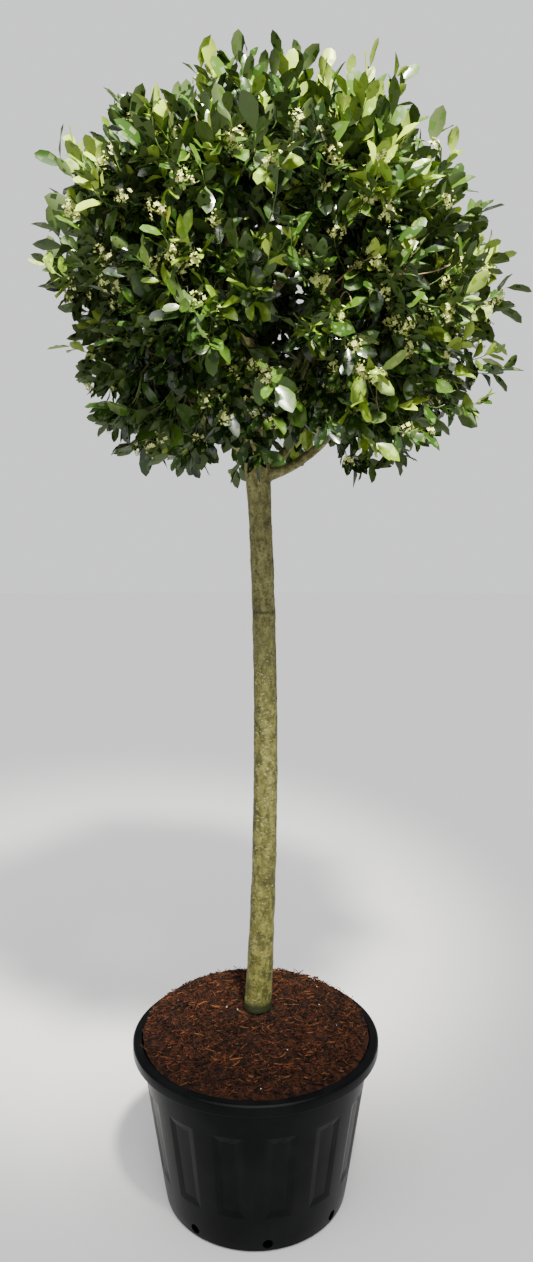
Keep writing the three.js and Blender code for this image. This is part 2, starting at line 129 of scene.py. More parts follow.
# %% [markdown]
# Old plastic, bark and compost are never one flat colour. One shader group makes a mottle of two
# colours from object-space noise. Each material places it with its own scale and colours, and takes
# a height from it for its bump.


# %% Helpers for shading, and the mottle group
def feed(owner, socket, value):
    """Gives a socket a plain value, or links it to the output that makes one."""
    if hasattr(value, "is_output"):
        getattr(owner, "node_tree", owner).links.new(value, socket)
    else:
        socket.default_value = (*value, 1) if socket.type == "RGBA" else value


def add_node(owner, kind, values=(), **settings):
    """Adds a node to a material, a group or the world, and feeds the inputs that values names."""
    node = getattr(owner, "node_tree", owner).nodes.new(kind)
    for name, value in settings.items():
        setattr(node, name, value)
    for name, value in dict(values).items():
        feed(owner, node.inputs[name], value)
    return node


def mottle_group():
    group = bpy.data.node_groups.new("mottle", "ShaderNodeTree")
    for way, name, kind in (
        ("INPUT", "Scale", "Float"), ("INPUT", "Stretch", "Vector"), ("INPUT", "Low", "Float"),
        ("INPUT", "High", "Float"), ("INPUT", "Ground Colour", "Color"),
        ("INPUT", "Patch Colour", "Color"), ("OUTPUT", "Color", "Color"), ("OUTPUT", "Mask", "Float"),
    ):
        group.interface.new_socket(name=name, in_out=way, socket_type="NodeSocket" + kind)
    given = add_node(group, "NodeGroupInput").outputs
    place = add_node(group, "ShaderNodeTexCoord").outputs["Object"]
    values = {"Vector": place, "Scale": given["Stretch"]}
    place = add_node(group, "ShaderNodeMapping", values).outputs["Vector"]
    values = {"Vector": place, "Scale": given["Scale"], "Detail": 6, "Roughness": 0.6}
    noise = add_node(group, "ShaderNodeTexNoise", values).outputs["Fac"]
    values = {"Value": noise, "From Min": given["Low"], "From Max": given["High"]}
    mask = add_node(group, "ShaderNodeMapRange", values).outputs["Result"]
    values = {"Factor": mask, "A": given["Ground Colour"], "B": given["Patch Colour"]}
    mixed = add_node(group, "ShaderNodeMix", values, data_type="RGBA").outputs["Result"]
    add_node(group, "NodeGroupOutput", {"Color": mixed, "Mask": mask})
    return group


MOTTLE = mottle_group()


def place_mottle(material, scale, ground, patch, low=0.4, high=0.6, stretch=(1, 1, 1)):
    """Returns the mottle's colour and its mask. Its ground may be another mottle's colour."""
    values = enumerate((scale, stretch, low, high, ground, patch))
    node = add_node(material, "ShaderNodeGroup", values, node_tree=MOTTLE)
    return node.outputs["Color"], node.outputs["Mask"]


def new_material(name, roughness, color=None, specular=0.5):
    material = bpy.data.materials.new(name)
    material.use_nodes = True
    shader = material.node_tree.nodes["Principled BSDF"]
    shader.inputs["Roughness"].default_value = roughness
    shader.inputs["Specular IOR Level"].default_value = specular
    if color:
        shader.inputs["Base Color"].default_value = (*color, 1)
        material.diffuse_color = (*color, 1)
    return material, shader


def bump_from(material, shader, height, strength, distance):
    values = {"Strength": strength, "Distance": distance, "Height": height}
    bump = add_node(material, "ShaderNodeBump", values)
    feed(material, shader.inputs["Normal"], bump.outputs["Normal"])


print("shader group", MOTTLE.name)

# %% [markdown]
# The pot is moulded in one piece: a tapered wall with pressed flutes, and a rim that turns out and
# down so that it can be gripped. It starts as a filled circle, and each extrusion adds one ring of
# its profile, up the outside, over the rim and down the inside to the floor.

# %% Pot wall and rim
_, pot_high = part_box("pot")
RIM_RADIUS = pot_high.x
POT_HEIGHT = pot_high.z
LIP_WIDTH = 0.020
LIP_DROP = 0.024
LIP_SKIN = 0.004
FOOT_RADIUS = 0.206
FOOT_EDGE = 0.005  # how far the foot's edge is cut back
FOOT_RISE = 0.03
WALL = 0.004
FLOOR = 0.006
FLUTES = 14
SIDES_PER_FLUTE = 10
FLUTE_FOOT = 0.085
FLUTE_TOP = 0.278


def wall_radius(height):
    top = RIM_RADIUS - LIP_WIDTH + WALL
    return FOOT_RADIUS + (top - FOOT_RADIUS) * height / POT_HEIGHT


skirt = POT_HEIGHT - LIP_DROP
under_lip = POT_HEIGHT - LIP_SKIN
flute_middle = 0.5 * (FLUTE_FOOT + FLUTE_TOP)
wall_heights = (FOOT_RISE, FLUTE_FOOT, flute_middle, FLUTE_TOP, skirt, under_lip)
pot_profile = [
    (FOOT_RADIUS, FOOT_EDGE),
    *[(wall_radius(height), height) for height in wall_heights],
    (RIM_RADIUS - LIP_SKIN, under_lip),
    (RIM_RADIUS - LIP_SKIN, skirt),
    (RIM_RADIUS, skirt),
    (RIM_RADIUS, under_lip),
    (RIM_RADIUS - LIP_SKIN, POT_HEIGHT),
    (wall_radius(POT_HEIGHT) - WALL, POT_HEIGHT),
    (wall_radius(skirt) - WALL, skirt),
    (wall_radius(FLOOR) - WALL, FLOOR),
]

bpy.ops.object.select_all(action="DESELECT")
bpy.ops.mesh.primitive_circle_add(
    vertices=FLUTES * SIDES_PER_FLUTE, radius=FOOT_RADIUS - FOOT_EDGE, fill_type="NGON"
)
pot = bpy.context.object
pot.name = "nursery_pot"
bpy.ops.object.mode_set(mode="EDIT")
bpy.ops.mesh.select_all(action="SELECT")
radius, height = FOOT_RADIUS - FOOT_EDGE, 0.0
for next_radius, next_height in pot_profile:
    bpy.ops.mesh.extrude_region_move(
        TRANSFORM_OT_translate={"value": (0, 0, next_height - height)}
    )
    grown = next_radius / radius
    bpy.ops.transform.resize(value=(grown, grown, 1))
    radius, height = next_radius, next_height
bpy.ops.mesh.select_all(action="SELECT")
bpy.ops.mesh.normals_make_consistent(inside=False)
bpy.ops.object.mode_set(mode="OBJECT")
print("pot rings", len(pot_profile), "rim radius", round(RIM_RADIUS, 3))

# %% [markdown]
# The flutes are the wall's own faces, picked by their place, drawn in at their borders and pushed
# inwards. A bevel softens every edge, and then the drainage holes are cut.


# %% Pot flutes, softened edges and drainage holes
FLUTE_DEPTH = 0.0032
FLUTE_BORDER = 0.014
FLUTE_PHASE = 0.27  # how far round the first flute starts, as a share of one flute's turn
FLUTE_SHARE = 0.6  # of the wall that lies in flutes
EDGE_WIDTH = 0.0018
EDGE_ANGLE = 10
SMOOTH_ANGLE = 35


def in_flute(centre, normal):
    turn = math.atan2(centre.y, centre.x) / (2 * math.pi) * FLUTES
    outward = normal.x * centre.x + normal.y * centre.y > 0.5 * math.hypot(centre.x, centre.y)
    across = (turn + FLUTE_PHASE) % 1 < FLUTE_SHARE
    return outward and across and FLUTE_FOOT < centre.z < FLUTE_TOP


select_faces(pot, in_flute)
bpy.ops.mesh.inset(thickness=FLUTE_BORDER, depth=-FLUTE_DEPTH, use_even_offset=True)
bpy.ops.object.mode_set(mode="OBJECT")
apply_modifier(
    pot, "BEVEL", width=EDGE_WIDTH, segments=3, limit_method="ANGLE",
    angle_limit=math.radians(EDGE_ANGLE),
)

DRAIN_HOLES = 8
DRAIN_RADIUS = 0.011
DRAIN_HEIGHT = 0.021
DRAIN_TURN = 60  # degrees, so that one hole nearly faces the camera
bpy.ops.object.select_all(action="DESELECT")
cutters = []
for number in range(DRAIN_HOLES):
    turn = 2 * math.pi * (number + 0.5) / DRAIN_HOLES - math.radians(DRAIN_TURN)
    bpy.ops.mesh.primitive_cylinder_add(
        vertices=20, radius=DRAIN_RADIUS, depth=0.05, rotation=(0, math.pi / 2, turn),
        location=(FOOT_RADIUS * math.cos(turn), FOOT_RADIUS * math.sin(turn), DRAIN_HEIGHT),
    )
    cutters.append(bpy.context.object)
for cutter in cutters:
    cutter.select_set(True)
bpy.ops.object.join()
cutter = bpy.context.object
apply_modifier(pot, "BOOLEAN", object=cutter, operation="DIFFERENCE")
bpy.data.objects.remove(cutter)
only(pot)
bpy.ops.object.shade_smooth_by_angle(angle=math.radians(SMOOTH_ANGLE))
print("pot faces", len(pot.data.polygons))

# %% [markdown]
# Black pot plastic is satin, with a little dust in faint smears. The dust is a second mottle on top of
# the first, and it also makes the surface rougher where it lies.

# %% Pot plastic
plastic, shader = new_material("pot_plastic", 0.42, specular=0.07)
tone, _ = place_mottle(plastic, 9, (0.0020, 0.0023, 0.0026), (0.0046, 0.005, 0.0054))
dusty, dust = place_mottle(plastic, 6, tone, (0.022, 0.021, 0.018), 0.62, 1.0, (1, 1, 0.6))
feed(plastic, shader.inputs["Base Color"], dusty)
dull = add_node(plastic, "ShaderNodeMapRange", {"Value": dust, "To Min": 0.34, "To Max": 0.75})
feed(plastic, shader.inputs["Roughness"], dull.outputs["Result"])
_, grain = place_mottle(plastic, 420, (0, 0, 0), (1, 1, 1))
bump_from(plastic, shader, grain, 0.12, 0.0004)
dress(pot, "pot_plastic", plastic, "pot")

# %% [markdown]
# The mix is heaped above the rim, highest at the stem and towards the back. Its profile is spun
# round the middle into a closed mound, and three cloudy displacements break the surface into clods,
# lumps and crumbs.

# %% Potting mix
SOIL_EDGE = 0.377
SOIL_CROWN = 0.420
SOIL_TILT = 0.05
FOOT_FLAT = 0.046
SOIL_RADIUS = wall_radius(0.358) - WALL - 0.0005
SOIL_DROP = 0.005  # how far the mix sinks where it meets the wall
SOIL_STEPS = 160
SOIL_RINGS = 64
SOIL_UNDERSIDE = [(SOIL_RADIUS - 0.006, 0, 0.335), (0, 0, 0.33)]
SOIL_ROUGHNESS = [(0.045, 0.010), (0.012, 0.008), (0.005, 0.003)]  # size, strength


def smoothstep(value, low, high):
    share = np.clip((value - low) / (high - low), 0, 1)
    return share * share * (3 - 2 * share)


def soil_height(x, y):
    radius = np.hypot(x, y)
    share = np.minimum(1, radius / (RIM_RADIUS - LIP_WIDTH))
    slope = smoothstep(radius, FOOT_FLAT, 3 * FOOT_FLAT)
    mound = SOIL_EDGE + (SOIL_CROWN - SOIL_EDGE) * (1 - slope * share**1.6)
    edge = SOIL_DROP * smoothstep(radius, 0.95 * SOIL_RADIUS, SOIL_RADIUS)
    return mound + slope * SOIL_TILT * y - edge


rings = [SOIL_RADIUS * ring / SOIL_RINGS for ring in range(SOIL_RINGS + 1)]
profile = [(radius, 0, SOIL_EDGE) for radius in rings] + SOIL_UNDERSIDE
profile_edges = [(corner, corner + 1) for corner in range(len(profile) - 1)]
soil = mesh_piece("potting_mix_mound", profile, profile_edges, [])
only(soil)
bpy.ops.object.mode_set(mode="EDIT")
bpy.ops.mesh.select_all(action="SELECT")
bpy.ops.mesh.spin(steps=SOIL_STEPS, angle=2 * math.pi, center=(0, 0, 0), axis=(0, 0, 1))
bpy.ops.mesh.select_all(action="SELECT")
bpy.ops.mesh.remove_doubles(threshold=0.0002)
bpy.ops.mesh.normals_make_consistent(inside=False)
bpy.ops.object.mode_set(mode="OBJECT")
for vertex in soil.data.vertices:
    if vertex.co.z > SOIL_EDGE - 0.001:
        vertex.co.z = float(soil_height(vertex.co.x, vertex.co.y))
roughen(soil, *SOIL_ROUGHNESS)
print("mound to", round(max(v.co.z for v in soil.data.vertices), 3))

# %% Potting mix finish
mix_finish, shader = new_material("coir_mix", 0.95, specular=0.2)
brown, _ = place_mottle(mix_finish, 60, (0.0045, 0.0018, 0.001), (0.036, 0.011, 0.004))
crumbly, crumbs = place_mottle(mix_finish, 260, brown, (0.085, 0.027, 0.008), 0.60, 0.72)
feed(mix_finish, shader.inputs["Base Color"], crumbly)
bump_from(mix_finish, shader, crumbs, 0.7, 0.002)
dress(soil, "potting_mix", mix_finish, "potting_mix")

# %% [markdown]
# Small things that repeat by the hundred are made as arrays: one pattern of corners is placed many
# times by its own point and three directions, and all the copies are joined in one mesh. The same
# helper serves the coir fibres, the leaves and the petals.


# %% Helper for joined copies
def unit(vectors):
    lengths = np.linalg.norm(vectors, axis=-1, keepdims=True)
    return vectors / np.maximum(lengths, 1e-9)


def copies(name, corners, faces, places, ahead, across, up):
    """One mesh of many copies: corners are (along, aside, above) for each copy's own directions."""
    corners = np.asarray(corners, float)
    if corners.ndim == 2:
        corners = np.broadcast_to(corners, (len(places), *corners.shape))
    points = places[:, None]
    for axis, way in enumerate((ahead, across, up)):
        points = points + corners[:, :, axis, None] * way[:, None]
    count = corners.shape[1]
    order = [
        tuple(start + corner for corner in face)
        for start in range(0, len(places) * count, count)
        for face in faces
    ]
    return mesh_piece(name, points.reshape(-1, 3).tolist(), [], order)


def any_directions(draw, count):
    return unit(draw.normal(size=(count, 3)))


def square_to(ahead, hint):
    """The directions across and above, for a direction ahead and a hint of what is above."""
    across = unit(np.cross(hint, ahead))
    return across, unit(np.cross(ahead, across))


# %% [markdown]
# Coir is a tangle of short curved fibres, some pale and some nearly black, with a few white grains.
# Each fibre is a bent three-sided strand that lies on the mound or stands up a little.


# %% Coir fibres, clods and grains
STRAND_RINGS = (-0.5, -0.17, 0.17, 0.5)  # along the strand, from its middle
STRAND_CORNERS = (0, 2.1, 4.2)  # radians round it


def on_mound(draw, count, reach=0.97, clear=0.036):
    radius = np.sqrt(draw.uniform((clear / SOIL_RADIUS) ** 2, reach**2, count)) * SOIL_RADIUS
    turn = draw.uniform(0, 2 * math.pi, count)
    x, y = radius * np.cos(turn), radius * np.sin(turn)
    return np.stack([x, y, soil_height(x, y) + draw.uniform(-0.001, 0.003, count)], 1)


def fibres(name, count, seed, thickness, material, lengths=(0.008, 0.028)):
    draw = np.random.default_rng(seed)
    places = on_mound(draw, count)
    ahead = unit(draw.normal(size=(count, 3)) * (1, 1, 0.22))
    across, up = square_to(ahead, np.array([0.0, 0.0, 1.0]))
    length = draw.uniform(*lengths, count)
    bow = draw.uniform(-0.35, 0.35, count) * length
    width = thickness * draw.uniform(0.6, 1.4, count)
    corners = []
    for along in STRAND_RINGS:
        for turn in STRAND_CORNERS:
            aside = (1 - 4 * along**2) * bow + width * math.cos(turn)
            above = width * math.sin(turn) + 0.001 * draw.normal(size=count)
            corners.append(np.stack([along * length, aside, above], 1))
    faces = [(0, 2, 1), (9, 10, 11)]
    for ring in range(0, 9, 3):
        for side in range(3):
            other = (side + 1) % 3
            faces.append((ring + side, ring + other, ring + 3 + other, ring + 3 + side))
    corners = np.stack(corners, 1)
    dress(copies(name, corners, faces, places, ahead, across, up), "potting_mix", material)


tan_fibre, _ = new_material("fibre_tan", 0.8, (0.17, 0.060, 0.017), 0.3)
red_fibre, _ = new_material("fibre_red_brown", 0.85, (0.070, 0.019, 0.006), 0.3)
dark_fibre, _ = new_material("fibre_dark", 0.9, (0.008, 0.0035, 0.002), 0.3)
fibres("coir_tan", 620, 1, 0.0004, tan_fibre)
fibres("coir_tan_long", 70, 8, 0.0006, tan_fibre, (0.025, 0.055))
fibres("coir_red_brown", 2400, 2, 0.0006, red_fibre)
fibres("coir_dark", 2200, 3, 0.0007, dark_fibre)

OCTAHEDRON = [(1, 0, 0), (-1, 0, 0), (0, 1, 0), (0, -1, 0), (0, 0, 1), (0, 0, -1)]
OCTAHEDRON_FACES = [
    (0, 2, 4), (2, 1, 4), (1, 3, 4), (3, 0, 4), (2, 0, 5), (1, 2, 5), (3, 1, 5), (0, 3, 5)
]


def lumps(name, places, size, seed, material, slot):
    draw = np.random.default_rng(seed)
    count = len(places)
    ahead = any_directions(draw, count)
    across, up = square_to(ahead, any_directions(draw, count))
    shape = np.array(OCTAHEDRON)[None] * size * draw.uniform(0.6, 1.3, (count, 6, 1))
    dress(copies(name, shape, OCTAHEDRON_FACES, places, ahead, across, up), slot, material)


clod_brown, _ = new_material("clod_brown", 0.95, (0.013, 0.005, 0.0025), 0.2)
grain_white, _ = new_material("grain_white", 0.8, (0.6, 0.57, 0.5), 0.3)
lumps("mix_clods", on_mound(np.random.default_rng(4), 1500), 0.0032, 5, clod_brown, "potting_mix")
lumps("mix_grains", on_mound(np.random.default_rng(6), 13), 0.0019, 7, grain_white, "potting_mix")

# %% [markdown]
# The limbs follow the same curves as in the construction: the stem bows to the right and leans back,
# and each bough leaves it at its own height and bends up into its part of the head. Lengths are
# in metres here.

# %% Stem and boughs: named sizes
GAP = 0.0003
BOW_REACH = 0.0225
BOW_HEIGHT = 1.030
BOW_BEND = 0.049
BOW_DEPTH = 0.007
TRUNK_FOOT = SOIL_CROWN + GAP
TRUNK_TIP = 2.210
TRUNK_GIRTH = [
    # height, width of the stem
    (0.420, 0.067), (0.455, 0.061), (0.670, 0.056), (1.030, 0.054), (1.300, 0.0515), (1.550, 0.051),
    (1.655, 0.058), (1.735, 0.044), (1.900, 0.028), (2.050, 0.018), (2.210, 0.010),
]
HEAD_MIDDLE = np.array([0.033, 0.0, 2.045])
HEAD_RADIUS = 0.500
HEAD_ABOVE = 0.375
HEAD_BELOW = 0.470
ROUNDNESS_ABOVE = 2.2
ROUNDNESS_BELOW = 2.8
UNDERSIDE_OPEN = 0.82
TIERS = [
    dict(name="lower", count=6, first=-5, step=62, trunk_from=1.618, trunk_step=0.020,
         rise=10, elevation=-24, root=0.012),
    dict(name="upper", count=5, first=30, step=71, trunk_from=1.752, trunk_step=0.042,
         rise=42, elevation=26, root=0.011),
]
MASS_CENTRE = 0.66
BOUGH_TIP = 0.40
TOP_MASS = 0.62
BOUGH_TIP_RADIUS = 0.0055
BOUGH_POINTS = 25
UP = np.array([0.0, 0.0, 1.0])


def direction(azimuth, elevation):
    level = math.cos(elevation)
    return np.array([level * math.cos(azimuth), level * math.sin(azimuth), math.sin(elevation)])


def trunk_point(height):
    along = (height - TRUNK_FOOT) / (TRUNK_TIP - TRUNK_FOOT)
    bow = BOW_REACH - BOW_BEND * (height - BOW_HEIGHT) ** 2
    return np.array([bow, BOW_DEPTH * math.sin(2 * math.pi * along), height])


def trunk_radius(height):
    heights, girths = zip(*TRUNK_GIRTH)
    return float(np.interp(height, heights, girths)) / 2


def head_reach(ways):
    ways = np.atleast_2d(ways)
    level = np.hypot(ways[:, 0], ways[:, 1]) / HEAD_RADIUS
    above = ways[:, 2] > 0
    rise = np.abs(ways[:, 2]) / np.where(above, HEAD_ABOVE, HEAD_BELOW)
    power = np.where(above, ROUNDNESS_ABOVE, ROUNDNESS_BELOW)
    return (level**power + rise**power) ** (-1 / power)


def head_point(way, share, inset=0.0):
    return HEAD_MIDDLE + way * (head_reach(way)[0] * share - inset)


def bend(start, knee, end, count):
    """Points along a curve that leaves start towards knee and comes into end from it."""
    share = np.linspace(0, 1, count)[:, None]
    return (1 - share) ** 2 * start + 2 * share * (1 - share) * knee + share**2 * end


print("head", round(2 * HEAD_RADIUS, 2), "m across")


# %% Boughs and the middles of the masses
def make_masses():
    masses = []
    for tier in TIERS:
        for number in range(tier["count"]):
            azimuth = math.radians(tier["first"] + number * tier["step"])
            way = direction(azimuth, math.radians(tier["elevation"]))
            root = trunk_point(tier["trunk_from"] + number * tier["trunk_step"])
            tip = head_point(way, BOUGH_TIP)
            span = np.linalg.norm(tip - root)
            knee = root + direction(azimuth, math.radians(tier["rise"])) * span * 0.55
            masses.append(dict(
                name=f"{tier['name']}_{number + 1}", middle=head_point(way, MASS_CENTRE),
                bough=bend(root, knee, tip, BOUGH_POINTS), root_radius=tier["root"],
                start=tip, heading=unit(tip - knee),
            ))
    leader = trunk_point(TRUNK_TIP)
    masses.append(dict(
        name="top", middle=head_point(UP, TOP_MASS), start=leader,
        heading=unit(leader - trunk_point(TRUNK_TIP - 0.05)),
    ))
    return masses


masses = make_masses()
print("masses", [mass["name"] for mass in masses])

# %% [markdown]
# Real limbs grow out of each other with a collar, and no tube meets another like that. So the stem,
# its boughs and a few pruned stubs are drawn as one set of thick curves, turned into meshes,
# fused by a voxel remesh, smoothed at the joins and then roughened like bark.

# %% Bark over stem and boughs
STUBS = [
    # height, azimuth in degrees, length, radius: where twigs were pruned off
    (1.690, 250, 0.042, 0.008), (1.712, 320, 0.040, 0.009), (1.668, 205, 0.040, 0.007),
    (1.730, 275, 0.036, 0.006), (1.640, 290, 0.034, 0.005), (1.320, 262, 0.029, 0.006),
    (0.905, 300, 0.030, 0.005),
]
BARK_VOXEL = 0.0032
BARK_ROUGHNESS = [(0.05, 0.004), (0.012, 0.0016)]  # size, strength
TRUNK_STEPS = 150
COLLAR_STEPS = 5
COLLAR_SWELL = 0.004  # how much a bough thickens where it leaves the stem
STUB_SWELL = 1.2


def thick_curve(points, radii, name):
    curve = bpy.data.curves.new(name, "CURVE")
    curve.dimensions = "3D"
    curve.bevel_depth = 1
    curve.bevel_resolution = 6
    curve.use_fill_caps = True
    spline = curve.splines.new("POLY")
    spline.points.add(len(points) - 1)
    for point, place, radius in zip(spline.points, points, radii):
        point.co = (*place, 1)
        point.radius = radius
    drawn = bpy.data.objects.new(name, curve)
    bpy.context.scene.collection.objects.link(drawn)
    only(drawn)
    bpy.ops.object.convert(target="MESH")
    return bpy.context.object


heights = np.linspace(TRUNK_FOOT, TRUNK_TIP, TRUNK_STEPS)
limbs = [thick_curve(list(map(trunk_point, heights)), list(map(trunk_radius, heights)), "bark")]
for mass in masses[:-1]:
    radii = np.linspace(mass["root_radius"], BOUGH_TIP_RADIUS, len(mass["bough"]))
    radii[:COLLAR_STEPS] += COLLAR_SWELL * (1 - np.arange(COLLAR_STEPS) / COLLAR_STEPS)
    limbs.append(thick_curve(mass["bough"], radii, "bough_" + mass["name"]))
for height, azimuth, length, stub_radius in STUBS:
    foot = trunk_point(height)
    end = foot + direction(math.radians(azimuth), 0.5) * length
    stub_radii = (STUB_SWELL * stub_radius, STUB_SWELL * stub_radius, stub_radius)
    limbs.append(thick_curve([foot, 0.5 * (foot + end), end], stub_radii, "stub"))
bpy.ops.object.select_all(action="DESELECT")
for limb in limbs:
    limb.select_set(True)
bpy.context.view_layer.objects.active = limbs[0]
bpy.ops.object.join()
bark = bpy.context.object
bark.name = "stem_and_boughs"
apply_modifier(bark, "REMESH", mode="VOXEL", voxel_size=BARK_VOXEL)
apply_modifier(bark, "SMOOTH", factor=0.5, iterations=4)
roughen(bark, *BARK_ROUGHNESS)
only(bark)
bpy.ops.object.shade_smooth()
print("bark faces", len(bark.data.polygons))

# %% [markdown]
# Holly bark stays smooth: olive green below and browner above, with pale corky flecks, dark blotches
# and a dark line where each year's growth began. The browning follows the height, and the lines are
# narrow bands at their own heights. The brown above is also made lighter, as painted light against
# the shadow of the head, and the stem is lightened towards its foot as painted sunlight. Each
# mottle lies on the colour of the one before.


# %% Bark finish
def ramp_between(material, value, low, high, top=1):
    values = {"Value": value, "From Min": low, "From Max": high, "To Max": top}
    return add_node(material, "ShaderNodeMapRange", values).outputs["Result"]


def mix_colours(material, factor, a, b, mode="MIX"):
    values = {"Factor": factor, "A": a, "B": b}
    node = add_node(material, "ShaderNodeMix", values, data_type="RGBA", blend_type=mode)
    return node.outputs["Result"]


def height_of(material):
    place = add_node(material, "ShaderNodeTexCoord").outputs["Object"]
    return add_node(material, "ShaderNodeSeparateXYZ", {"Vector": place}).outputs["Z"]


def band_at(material, height, half, strength):
    """A band's strength at a given height, falling to zero half its width above and below it."""
    away = height_of(material)
    for operation in ("SUBTRACT", "ABSOLUTE"):
        values = {0: away, 1: height}
        node = add_node(material, "ShaderNodeMath", values, operation=operation)
        away = node.outputs["Value"]
    return ramp_between(material, away, half, 0.1 * half, strength)


# height, half its width, strength
GROWTH_RINGS = [(1.325, 0.007, 0.75), (1.561, 0.009, 0.40), (0.892, 0.006, 0.25)]
RING_COLOUR = (0.030, 0.026, 0.008)
BARK_STREAK = (1, 1, 0.55)  # the mottle is longer along the stem than round it

bark_finish, shader = new_material("holly_bark", 0.66, specular=0.35)
green, _ = place_mottle(
    bark_finish, 70, (0.040, 0.043, 0.006), (0.150, 0.142, 0.036), 0.38, 0.62, BARK_STREAK
)
# The upper stem's brown is its own colour, made lighter as painted light against the head's shadow.
brown, _ = place_mottle(
    bark_finish, 75, (0.100, 0.094, 0.026), (0.300, 0.280, 0.105), 0.38, 0.62, BARK_STREAK
)
rising = ramp_between(bark_finish, height_of(bark_finish), 1.12, 1.45)
base = mix_colours(bark_finish, rising, green, brown)
# Painted sunlight: the stem is lightened more and more from 0.95 m down towards its foot.
painted_sunlit_foot = ramp_between(bark_finish, height_of(bark_finish), 0.95, 0.50)
base = mix_colours(bark_finish, painted_sunlit_foot, base, (0.64, 0.63, 0.54), "SOFT_LIGHT")
for ring_height, ring_half, ring_strength in GROWTH_RINGS:
    ring = band_at(bark_finish, ring_height, ring_half, ring_strength)
    base = mix_colours(bark_finish, ring, base, RING_COLOUR)
blotched, _ = place_mottle(bark_finish, 17, base, (0.034, 0.032, 0.007), 0.54, 0.74, (1, 1, 0.7))
grained, _ = place_mottle(bark_finish, 190, blotched, (0.034, 0.032, 0.008), 0.50, 0.70)
flecked, flecks = place_mottle(
    bark_finish, 120, grained, (0.27, 0.25, 0.11), 0.55, 0.70, (1, 1, 1.5)
)
collar = ramp_between(bark_finish, height_of(bark_finish), 0.447, 0.437)
skin = mix_colours(bark_finish, collar, flecked, (0.014, 0.018, 0.003))
feed(bark_finish, shader.inputs["Base Color"], skin)
bump_from(bark_finish, shader, flecks, 0.6, 0.0015)
bough_nodes = ["bough_" + mass["name"] for mass in masses[:-1]]
dress(bark, "bark", bark_finish, "trunk", *bough_nodes)

# %% [markdown]
# Now the head grows. A seeded number maker gives the same plant every time. Tips are spread over and
# inside the head's outline and drawn together into sprays, each tip belongs to the nearest mass, and
# from its bough a twig forks in two again and again until each fork leads to one tip. It is the
# construction's rule with finer steps. A few hollows stay open, and a few shoots lead the rest.

# %% Growth: named sizes
SHOOTS = 1650
SPRAYS = 150
SPRAY_PULL = 0.34  # how far a tip is drawn to the middle of its spray
SPRAY_REACH = (0.87, 1.02)
SHOOT_LENGTH = 0.085
TIP_INSET = 0.046
LAYERS = 3
LAYER_DEPTH = 0.13
UNEVENNESS = 0.05  # in shares of the reach, as the layer's depth is
SHOOT_RADIUS = 0.0014
SHOOT_TIP_RADIUS = 0.0009
SHOOT_POINTS = 7
TWIG_THINNING = 0.80
SHORTEST_STEP = 0.012
GOLDEN_TURN = math.pi * (3 - math.sqrt(5))
LEADING_SHOOTS = [
    # azimuth and elevation in degrees, share of the reach
    (182, 27, 1.13), (196, 44, 1.06), (262, 74, 1.05), (292, 66, 1.04), (250, 60, 1.05),
    (232, 56, 1.05), (275, 60, 1.05), (301, 58, 1.03), (318, 40, 1.05), (356, 32, 1.05),
    (352, 14, 1.00), (344, -8, 1.06), (350, -24, 1.09), (181, 3, 0.98), (176, -18, 0.97),
    (288, -46, 1.02), (322, -44, 1.05), (338, -34, 1.08), (304, -55, 1.05), (214, -42, 0.97),
    (232, -54, 1.04), (266, -55, 1.04), (270, 4, 1.05), (60, 50, 1.05), (90, 6, 1.04),
    (120, 20, 1.04),
]
LEADING_TIPS = 4
LEADING_STEP = 0.04  # share of the reach from one tip of a leading shoot to the next
LEADING_SPREAD = 0.026
CLIPPED_IN = [(198, -30, 24)]  # a round patch of the outline, clipped closer than the rest
CLIPPED_BY = 0.07
HOLLOWS = [
    # azimuth and elevation in degrees of a gap's middle, and half its width
    (267, 2, 11), (275, -20, 8), (254, -14, 6), (281, -38, 7), (248, -30, 5),
    (318, 18, 5), (212, 14, 5), (60, 0, 7), (140, 12, 7),
]
print("leading shoots", len(LEADING_SHOOTS), "hollows", len(HOLLOWS))


# %% Tips of the shoots
class Seeded:
    """The same numbers in the same order for the same seed."""

    def __init__(self, seed):
        self.state = seed

    def __call__(self):
        self.state = (self.state * 1664525 + 1013904223) % 2**32
        return self.state / 2**32


def toward(azimuth, elevation):
    return direction(math.radians(azimuth), math.radians(elevation))


def spiral(count, random, spread):
    """Directions spread evenly over a ball by the golden angle."""
    ways = []
    for number in range(count):
        rise = 1 - 2 * (number + 0.5) / count
        azimuth = number * GOLDEN_TURN + spread * (random() - 0.5)
        ways.append(direction(azimuth, math.asin(rise)))
    return np.array(ways)


def within(ways, middles_and_widths):
    """True for each direction that lies in one of the round patches."""
    ways = np.atleast_2d(ways)
    inside = np.zeros(len(ways), bool)
    for azimuth, elevation, half in middles_and_widths:
        inside |= ways @ toward(azimuth, elevation) > math.cos(math.radians(half))
    return inside


